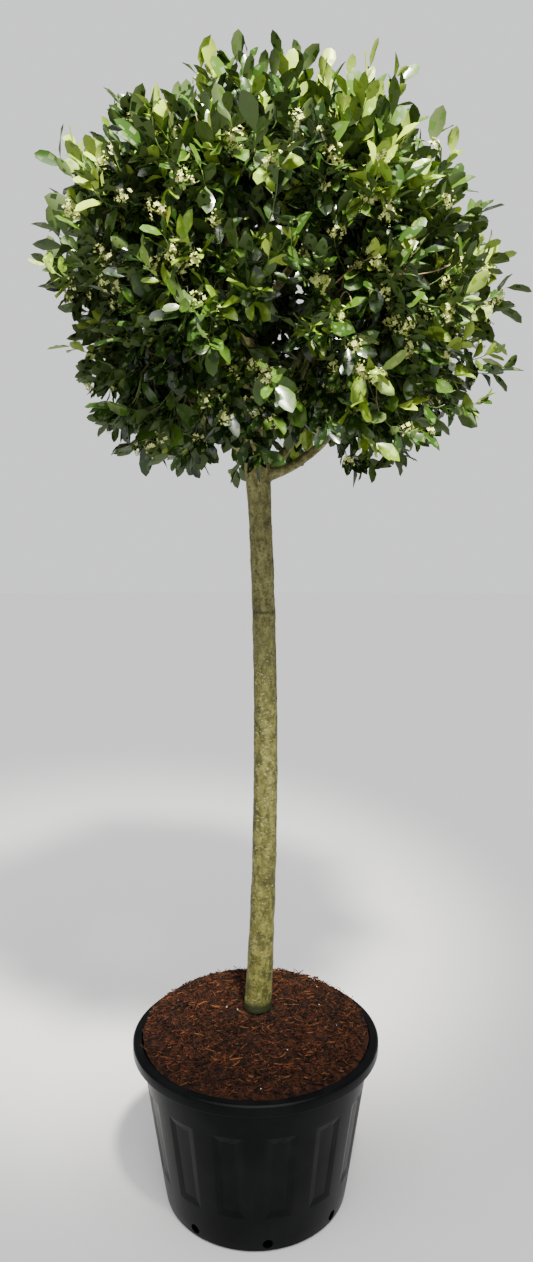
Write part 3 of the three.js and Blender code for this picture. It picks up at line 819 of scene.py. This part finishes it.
def shoot_tips():
    random = Seeded(11)
    sprays = spiral(SPRAYS, random, 0.9)
    nearest, furthest = SPRAY_REACH
    reach = [nearest + (furthest - nearest) * random() for _ in sprays]
    tips = []
    for number, way in enumerate(spiral(SHOOTS, random, 0.3)):
        spray = (sprays @ way).argmax()
        way = unit(way + SPRAY_PULL * (sprays[spray] - way))
        layer = number % LAYERS
        share = reach[spray] - UNEVENNESS * random()
        share -= LAYER_DEPTH * layer * (0.5 + 0.5 * random())
        share -= CLIPPED_BY * within(way, CLIPPED_IN)[0]
        if -way[2] < UNDERSIDE_OPEN and not within(way, HOLLOWS)[0]:
            tips.append(head_point(way, share, TIP_INSET))
    for azimuth, elevation, share in LEADING_SHOOTS:
        way = toward(azimuth, elevation)
        for tip in range(LEADING_TIPS):
            aside = unit(np.array([random() - 0.5, random() - 0.5, random() - 0.5]))
            place = head_point(way, share - LEADING_STEP * tip, TIP_INSET)
            tips.append(place + LEADING_SPREAD * tip * aside)
    return np.array(tips)


tips = shoot_tips()
print("tips", len(tips))


# %% Twigs that fork towards the tips
def halves(tips, heading):
    """Splits a twig's tips in two across their longest spread."""
    middle = tips.mean(0)
    spread = tips - middle
    spread = spread - (spread @ heading)[:, None] * heading
    aside = spread[np.argmax((spread**2).sum(1))]
    order = np.argsort(tips @ aside, kind="stable")
    half = math.ceil(len(tips) / 2)
    return tips[order[:half]], tips[order[half:]]


def grow(start, heading, tips, radius, twigs):
    middle = tips.mean(0)
    way = middle - start
    length = np.linalg.norm(way)
    if len(tips) == 1:
        rise = unit(unit(tips[0] - HEAD_MIDDLE) + UP)
        knee = tips[0] - rise * 0.5 * length
        line = bend(start, knee, tips[0], SHOOT_POINTS)
        twigs.append(dict(points=line, foot=radius, tip=SHOOT_TIP_RADIUS, shoot=True))
        return
    forks = math.ceil(math.log2(len(tips)))
    step = max(SHORTEST_STEP, (length - SHOOT_LENGTH) / forks)
    heading = unit(0.5 * heading + way / max(length, 1e-6))
    fork = start + heading * step
    following = max(SHOOT_RADIUS, radius * TWIG_THINNING)
    twigs.append(dict(points=np.array([start, fork]), foot=radius, tip=following, shoot=False))
    for half in halves(tips, heading):
        grow(fork, heading, half, following, twigs)


def grow_head():
    middles = np.array([mass["middle"] for mass in masses])
    owner = np.linalg.norm(tips[:, None] - middles[None], axis=2).argmin(1)
    twigs = []
    for number, mass in enumerate(masses):
        own = tips[owner == number]
        start = mass["start"] - 0.004 * mass["heading"]
        grow(start, mass["heading"], own, BOUGH_TIP_RADIUS * 0.9, twigs)
    return twigs


twigs = grow_head()
shoots = [twig for twig in twigs if twig["shoot"]]
old_wood = [twig for twig in twigs if not twig["shoot"]]
print("twigs", len(twigs), "shoots", len(shoots))

# %% [markdown]
# The twigs are tubes of a few sides. Between the leafy ones a few long bare runners wander out from
# the forks in a curve and end in nothing, tan and thin, where the clipping took their leaves.


# %% Twigs as joined meshes
def twig_piece(name, chosen, sides):
    """One mesh of tubes of a few sides along the twigs' lines, each thinner towards its tip."""
    vertices, faces = [], []
    turns = np.arange(sides) * 2 * math.pi / sides
    for twig in chosen:
        line = twig["points"]
        widths = np.linspace(twig["foot"], twig["tip"], len(line))
        ahead = unit(np.gradient(line, axis=0))
        across, above = square_to(ahead, np.array([0.31, 0.22, 0.92]))
        first = len(vertices)
        for point, side, over, width in zip(line, across, above, widths):
            ring = np.cos(turns)[:, None] * side + np.sin(turns)[:, None] * over
            vertices.extend((point + width * ring).tolist())
        for low in range(first, len(vertices) - sides, sides):
            for side in range(sides):
                other = (side + 1) % sides
                faces.append((low + side, low + other, low + sides + other, low + sides + side))
        faces.append(tuple(range(first + sides - 1, first - 1, -1)))
        faces.append(tuple(range(len(vertices) - sides, len(vertices))))
    piece = mesh_piece(name, vertices, [], faces)
    only(piece)
    bpy.ops.object.shade_smooth()
    return piece


BARE_EVERY = 16
BARE_LENGTH = 0.13
BARE_BOW = 0.045
BARE_POINTS = 10
BARE_ROOM = 0.02  # how far inside the outline a runner has to end


def bare_runners():
    random = Seeded(19)
    runners = []
    for wood in old_wood[::BARE_EVERY]:
        start = wood["points"][1]
        out = unit(start - HEAD_MIDDLE)
        aside = unit(np.cross(out, [random() - 0.5, random() - 0.5, random() - 0.5]))
        end = start + BARE_LENGTH * (0.6 + 0.6 * random()) * unit(out + 0.8 * aside)
        knee = 0.5 * (start + end) + BARE_BOW * (2 * random() - 1) * UP + 0.03 * aside
        room = head_reach(unit(end - HEAD_MIDDLE))[0] - np.linalg.norm(end - HEAD_MIDDLE)
        if room > BARE_ROOM:
            line = bend(start, knee, end, BARE_POINTS)
            runners.append(dict(points=line, foot=0.0017, tip=0.0008))
    return runners


old_bark, _ = new_material("twig_bark", 0.7, (0.085, 0.066, 0.026), 0.35)
bare_bark, _ = new_material("bare_twig_bark", 0.6, (0.30, 0.23, 0.10), 0.4)
green_stem, _ = new_material("green_stem", 0.5, (0.11, 0.17, 0.030))
dress(twig_piece("branchlets", old_wood, 6), "bark", old_bark)
dress(twig_piece("bare_runners", bare_runners(), 5), "bark", bare_bark)
foliage_nodes = ["foliage_" + mass["name"] for mass in masses]
dress(twig_piece("shoot_stems", shoots, 4), "foliage", green_stem, *foliage_nodes)

# %% [markdown]
# A holly leaf on a clipped standard is a blunt ellipse, widest past its middle, glossy above and dull
# and paler below. It is folded a little along its midrib, its edges ripple, and it droops towards its
# tip. Leaves stand round each shoot by the golden angle and close up into a fan at the tip. They stand
# up at the top of the head and hang at its underside.

# %% Leaves: pattern and places
LEAVES_PER_SHOOT = 9
LEAF_LENGTH = 0.053
LEAF_WIDTH = 0.46
LEAF_ROWS = [(0.10, 0.05), (0.34, 0.37), (0.62, 0.50), (0.87, 0.33)]  # along, half the width
LEAF_RIPPLE = 0.5
LEAF_SKIN = 0.0004
LEAF_SIZES = (0.62, 1.24)
LEAF_FROM = 0.10
SPREAD_FOOT = 72  # degrees from the shoot's own direction
SPREAD_TIP = 30
SPREAD_UNEVEN = 24
LIMB_CLEAR = 0.004
LEAF_LIFT = 0.42  # how much leaves stand up at the top, and hang at the underside


def leaf_faces(underside):
    tip = 1 + 3 * len(LEAF_ROWS)
    faces = [(0, 1, 2), (0, 3, 1)]
    for row in range(1, tip - 3, 3):
        faces.append((row, row + 3, row + 4, row + 1))
        faces.append((row, row + 2, row + 5, row + 3))
    faces += [(tip - 3, tip, tip - 2), (tip - 3, tip - 1, tip)]
    return [face[::-1] for face in faces] if underside else faces


def leaf_corners(length, width, fold, droop):
    """The corners of each leaf: its foot, rows of midrib, left and right, and its tip."""
    zero = np.zeros_like(length)
    corners = [np.stack([zero, zero, zero], 1)]
    for row, (along, half) in enumerate(LEAF_ROWS):
        sag = -droop * length * along**2
        edge = half * width * length
        ripple = LEAF_RIPPLE * (-1) ** row
        corners.append(np.stack([along * length, zero, sag], 1))
        corners.append(np.stack([along * length, edge, sag + (fold + 0.2 * ripple) * edge], 1))
        corners.append(np.stack([along * length, -edge, sag + (fold - 0.2 * ripple) * edge], 1))
    corners.append(np.stack([length, zero, -droop * length], 1))
    return np.stack(corners, 1)


def limb_stations():
    heights = np.arange(TRUNK_FOOT, TRUNK_TIP, 0.012)
    points, radii = list(map(trunk_point, heights)), list(map(trunk_radius, heights))
    for mass in masses[:-1]:
        points.extend(mass["bough"])
        radii.extend([mass["root_radius"]] * len(mass["bough"]))
    return np.array(points), np.array(radii)


station_points, station_radii = limb_stations()


def clear_of_limbs(points):
    away = np.linalg.norm(points[:, None] - station_points[None], axis=2)
    return (away > station_radii + LIMB_CLEAR).all(1)


def place_leaves():
    """Every leaf's foot, directions, size, order on its shoot, and its shoot's number."""
    random = Seeded(5)
    smallest, largest = LEAF_SIZES
    rows = []
    for number, shoot in enumerate(shoots):
        points = shoot["points"]
        tangents = unit(np.gradient(points, axis=0))
        first_turn = random() * 2 * math.pi
        vigour = 0.85 + 0.3 * random()
        for leaf in range(LEAVES_PER_SHOOT):
            step = leaf / (LEAVES_PER_SHOOT - 1)
            at = (LEAF_FROM + (1 - LEAF_FROM) * step) * (len(points) - 1)
            low = min(int(at), len(points) - 2)
            root = points[low] + (at - low) * (points[low + 1] - points[low])
            tangent = tangents[low]
            side = unit(np.cross(np.array([1, 0.3, 0.2]), tangent))
            other = np.cross(tangent, side)
            turn = first_turn + leaf * GOLDEN_TURN
            side = side * math.cos(turn) + other * math.sin(turn)
            spread = SPREAD_FOOT + (SPREAD_TIP - SPREAD_FOOT) * step
            spread = math.radians(spread + SPREAD_UNEVEN * (random() - 0.5))
            lift = LEAF_LIFT * (root[2] - HEAD_MIDDLE[2]) / HEAD_ABOVE
            ahead = tangent * math.cos(spread) + side * math.sin(spread) + lift * UP
            size = vigour * (smallest + (largest - smallest) * random())
            rows.append((root, ahead, size, step, number))
    roots, ahead, size, step, number = (np.array(column) for column in zip(*rows))
    return roots, unit(ahead), size, step, number


roots, leaf_ahead, leaf_size, leaf_step, leaf_shoot = place_leaves()
open_air = clear_of_limbs(roots + 0.5 * LEAF_LENGTH * leaf_ahead)
print("leaves", len(roots), "clear of limbs", int(open_air.sum()))

# %% [markdown]
# The leaf colours go by spray: most shoots are deep green, some are a fresher green, and the newest
# shoots end in small bright leaves that stand up. The brighter tints are dealt mostly to shoots at the
# top, on the right side and at the outside, and deep green to shoots inside the head. This is partly
# where new growth comes, and partly painted light and shade, as the light falls from above and the
# right. Each colour is one joined piece with a plain colour, and so are the paler undersides, because
# a pattern would be far too fine for so many small leaves.

# %% Leaf finishes
DEEP, GREEN, GRASS, FRESH, YOUNG = range(5)
LEAF_FINISHES = {
    # colour, roughness
    "deep": ((0.009, 0.023, 0.004), 0.21),
    "green": ((0.022, 0.056, 0.006), 0.24),
    "grass": ((0.052, 0.112, 0.009), 0.27),
    "fresh": ((0.145, 0.240, 0.014), 0.31),
    "young": ((0.330, 0.440, 0.030), 0.40),
}
DULL_SIDES = {
    # colour, the finishes that it goes under
    "dull": ((0.066, 0.105, 0.022), (DEEP, GREEN, GRASS)),
    "bright": ((0.260, 0.360, 0.045), (FRESH, YOUNG)),
}
TINT_LOTS = [(0.10, YOUNG), (0.27, FRESH), (0.46, GRASS), (0.74, GREEN)]  # the rest are deep

shoot_tip_places = np.array([shoot["points"][-1] for shoot in shoots])
shoot_out = (shoot_tip_places - HEAD_MIDDLE) / (HEAD_RADIUS, HEAD_RADIUS, HEAD_ABOVE)
outside = np.linalg.norm(shoot_out, axis=1)
# Painted light and shade: shoots high up and on the right get brighter tints, as if lit, and shoots
# deep inside get darker ones, as if shaded, on top of the real fresh growth at the outside.
painted_sunlit_side = 0.45 * shoot_out[:, 0] + 0.9 * shoot_out[:, 2]
draw = np.random.default_rng(21)
lot = draw.uniform(0, 1, len(shoots)) - 0.24 * painted_sunlit_side - 0.30 * (outside - 0.8)
limits, tints = zip(*TINT_LOTS)
shoot_tint = np.select([lot < limit for limit in limits], tints, DEEP)
leaf_tint = shoot_tint[leaf_shoot]
leaf_tint = np.where((leaf_tint == YOUNG) & (leaf_step < 0.55), GRASS, leaf_tint)
leaf_tint = np.where((leaf_tint == FRESH) & (leaf_step < 0.30), GREEN, leaf_tint)
print("tints", np.bincount(leaf_tint))

# %% Leaves as joined meshes
leaf_hint = UP + 0.8 * unit(roots - HEAD_MIDDLE) + 0.5 * draw.normal(size=roots.shape)
is_young = leaf_tint == YOUNG
leaf_ahead = np.where(is_young[:, None], unit(leaf_ahead + 0.5 * UP), leaf_ahead)
leaf_across, leaf_above = square_to(leaf_ahead, leaf_hint)
leaf_shapes = leaf_corners(
    LEAF_LENGTH * leaf_size * np.where(is_young, 0.80, 1),
    LEAF_WIDTH * draw.uniform(0.85, 1.2, len(roots)),
    draw.uniform(0.05, 0.45, len(roots)),
    draw.uniform(-0.02, 0.26, len(roots)),
)


def leaves(name, chosen, color, roughness, underside=False):
    places = roots[chosen] - (LEAF_SKIN * leaf_above[chosen] if underside else 0)
    ways = (leaf_ahead[chosen], leaf_across[chosen], leaf_above[chosen])
    piece = copies("leaves_" + name, leaf_shapes[chosen], leaf_faces(underside), places, *ways)
    only(piece)
    bpy.ops.object.shade_smooth()
    finish, _ = new_material("leaf_" + name, roughness, color)
    dress(piece, "foliage", finish)


for tint, (name, (color, roughness)) in enumerate(LEAF_FINISHES.items()):
    leaves(name, open_air & (leaf_tint == tint), color, roughness)
for name, (color, tints) in DULL_SIDES.items():
    leaves("underside_" + name, open_air & np.isin(leaf_tint, tints), color, 0.6, underside=True)

# %% [markdown]
# The plant is in blossom. Bunches of small cream flowers with four petals sit where the leaves meet the
# older part of each shoot, among round buds. They come in patches, the largest on the right side.

# %% Blossom: bunches, petals and buds
FLOWER_SPREAD = 0.0050
PETAL = [(0, 0, 0), (0.45, 0.36, 0.10), (1, 0, 0.22), (0.45, -0.36, 0.10)]
PETAL_FACES = [(0, 1, 2), (0, 2, 3)]
BUNCH_REACH = 0.020
BUNCH_OUT = 0.008
FLOWERS_PER_BUNCH = 22
BUD_SHARE = 0.42
BLOSSOM_FROM = 0.62  # no blossom on shoots further inside the head than this
CHANCE_IN_PATCH = 0.80
CHANCE_ELSEWHERE = 0.16
BLOSSOM_PATCHES = [
    # azimuth and elevation in degrees, and half the patch's width
    (268, 16, 11), (292, 12, 14), (306, -10, 24), (240, -8, 10), (215, -2, 10), (250, -38, 10),
    (268, -44, 8), (300, -42, 8), (348, -4, 16), (40, 12, 22), (100, 8, 22), (165, -6, 20),
]


def bunch_places():
    random = Seeded(77)
    in_patch = within(unit(shoot_tip_places - HEAD_MIDDLE), BLOSSOM_PATCHES)
    places = []
    for number, shoot in enumerate(shoots):
        chance = CHANCE_IN_PATCH if in_patch[number] else CHANCE_ELSEWHERE
        if outside[number] < BLOSSOM_FROM or random() > chance:
            continue
        for _ in range(1 + int(2 * random())):
            along = 2 + int(4.6 * random())
            places.append(shoot["points"][min(along, 6)])
    return np.array(places)


draw = np.random.default_rng(41)
bunches = bunch_places()
flowers = np.repeat(bunches, FLOWERS_PER_BUNCH, 0)
flower_out = unit(any_directions(draw, len(flowers)) + 0.9 * unit(flowers - HEAD_MIDDLE))
flowers = flowers + BUNCH_OUT * unit(flowers - HEAD_MIDDLE)
flowers = flowers + flower_out * draw.uniform(0.3, 1, (len(flowers), 1)) * BUNCH_REACH
is_bud = draw.uniform(0, 1, len(flowers)) < BUD_SHARE
buds, flowers, flower_out = flowers[is_bud], flowers[~is_bud], flower_out[~is_bud]
print("bunches", len(bunches), "flowers", len(flowers), "buds", len(buds))

# %% Petals and buds as joined meshes
petal_foot = np.repeat(flowers, 4, 0)
petal_axis = np.repeat(flower_out, 4, 0)
side, over = square_to(petal_axis, np.array([0.3, 0.2, 0.93]))
turn = np.tile(np.arange(4) * math.pi / 2, len(flowers))[:, None]
petal_ahead = np.cos(turn) * side + np.sin(turn) * over
petal_across, petal_up = square_to(petal_ahead, petal_axis)
petal = np.array(PETAL) * FLOWER_SPREAD
petals = copies("petals", petal, PETAL_FACES, petal_foot, petal_ahead, petal_across, petal_up)
cream, _ = new_material("petal_cream", 0.6, (0.76, 0.78, 0.28))
bud_green, _ = new_material("bud_green", 0.5, (0.50, 0.58, 0.13))
dress(petals, "foliage", cream)
lumps("buds", buds, 0.0026, 43, bud_green, "foliage")
lumps("flower_hearts", flowers, 0.0012, 44, bud_green, "foliage")

# %% [markdown]
# A handful of last winter's berries still hang among the leaves. Each is a small sphere with a
# dimple at its end, copied to a few places a little inside the head's outline.

# %% Berries
BERRY_RADIUS = 0.0042
BERRY_APART = 2.5  # radians, between the two of a pair
BERRIES = [
    # azimuth and elevation in degrees from the head's middle, share of the reach
    (247, 26, 0.80), (238, 13, 0.82), (290, 14, 0.82), (213, 2, 0.84), (239, -3, 0.84),
    (204, -12, 0.86), (75, 20, 0.84), (140, -5, 0.84),
]


def berry(name, place):
    bpy.ops.object.select_all(action="DESELECT")
    bpy.ops.mesh.primitive_uv_sphere_add(segments=14, ring_count=10, radius=BERRY_RADIUS)
    made = bpy.context.object
    made.name = name
    for vertex in made.data.vertices:
        if vertex.co.z < -0.95 * BERRY_RADIUS:
            vertex.co.z *= 0.80
    made.location = place
    bpy.ops.object.transform_apply(location=True, rotation=True, scale=True)
    bpy.ops.object.shade_smooth()
    dress(made, "foliage", berry_red)


berry_red, _ = new_material("berry_red", 0.3, (0.16, 0.006, 0.005))
for number, (azimuth, elevation, share) in enumerate(BERRIES):
    place = head_point(toward(azimuth, elevation), share)
    nearest = shoot_tip_places[np.linalg.norm(shoot_tip_places - place, axis=1).argmin()]
    for twin in range(2):
        below = direction(math.radians(azimuth) + BERRY_APART * twin, -0.6)
        berry(f"berry_{number + 1}_{twin + 1}", nearest + 0.007 * below)

# %% [markdown]
# The set is a pale floor that runs out to a pale surround. A wide soft light comes from above and in
# front, as from a big window, and a spot lamp above the camera's right shoulder is aimed at the head
# for the glints on its leaves. The surround shows brighter than it lights, so that the inside of the
# head stays dark.

# %% Floor, surround and lamps
FLOOR_SPREAD = 40
SURROUND_SEEN = 1.07
SURROUND_LIGHT = 0.29

bpy.ops.object.select_all(action="DESELECT")
bpy.ops.mesh.primitive_circle_add(vertices=96, radius=FLOOR_SPREAD, fill_type="NGON")
floor = bpy.context.object
floor.name = "floor"
floor_finish, _ = new_material("floor_pale", 0.8, (0.78, 0.78, 0.79), 0.2)
floor.data.materials.append(floor_finish)

world = bpy.data.worlds.new("surround")
bpy.context.scene.world = world
world.use_nodes = True
background = world.node_tree.nodes["Background"].inputs
feed(world, background["Color"], (0.97, 0.98, 1))
seen = add_node(world, "ShaderNodeLightPath").outputs["Is Camera Ray"]
values = {"Value": seen, "To Min": SURROUND_LIGHT, "To Max": SURROUND_SEEN}
strength = add_node(world, "ShaderNodeMapRange", values)
feed(world, background["Strength"], strength.outputs["Result"])


def lamp(name, kind, place, target, power, color):
    data = bpy.data.lights.new(name, kind)
    data.energy = power
    data.color = color
    made = bpy.data.objects.new(name, data)
    bpy.context.scene.collection.objects.link(made)
    made.location = place
    made.rotation_mode = "QUATERNION"
    made.rotation_quaternion = (Vector(target) - Vector(place)).to_track_quat("-Z", "Y")
    return data


window = lamp("window", "SUN", (0.15, -2.5, 4.2), (0, 0, 0), 3.9, (1, 0.99, 0.97))
window.angle = math.radians(65)
key = lamp("key", "SPOT", (0.60, -2.0, 4.4), (0, 0, 2.0), 2500, (1, 0.97, 0.88))
key.shadow_soft_size = 0.2
key.spot_size = math.radians(34)
key.spot_blend = 0.8
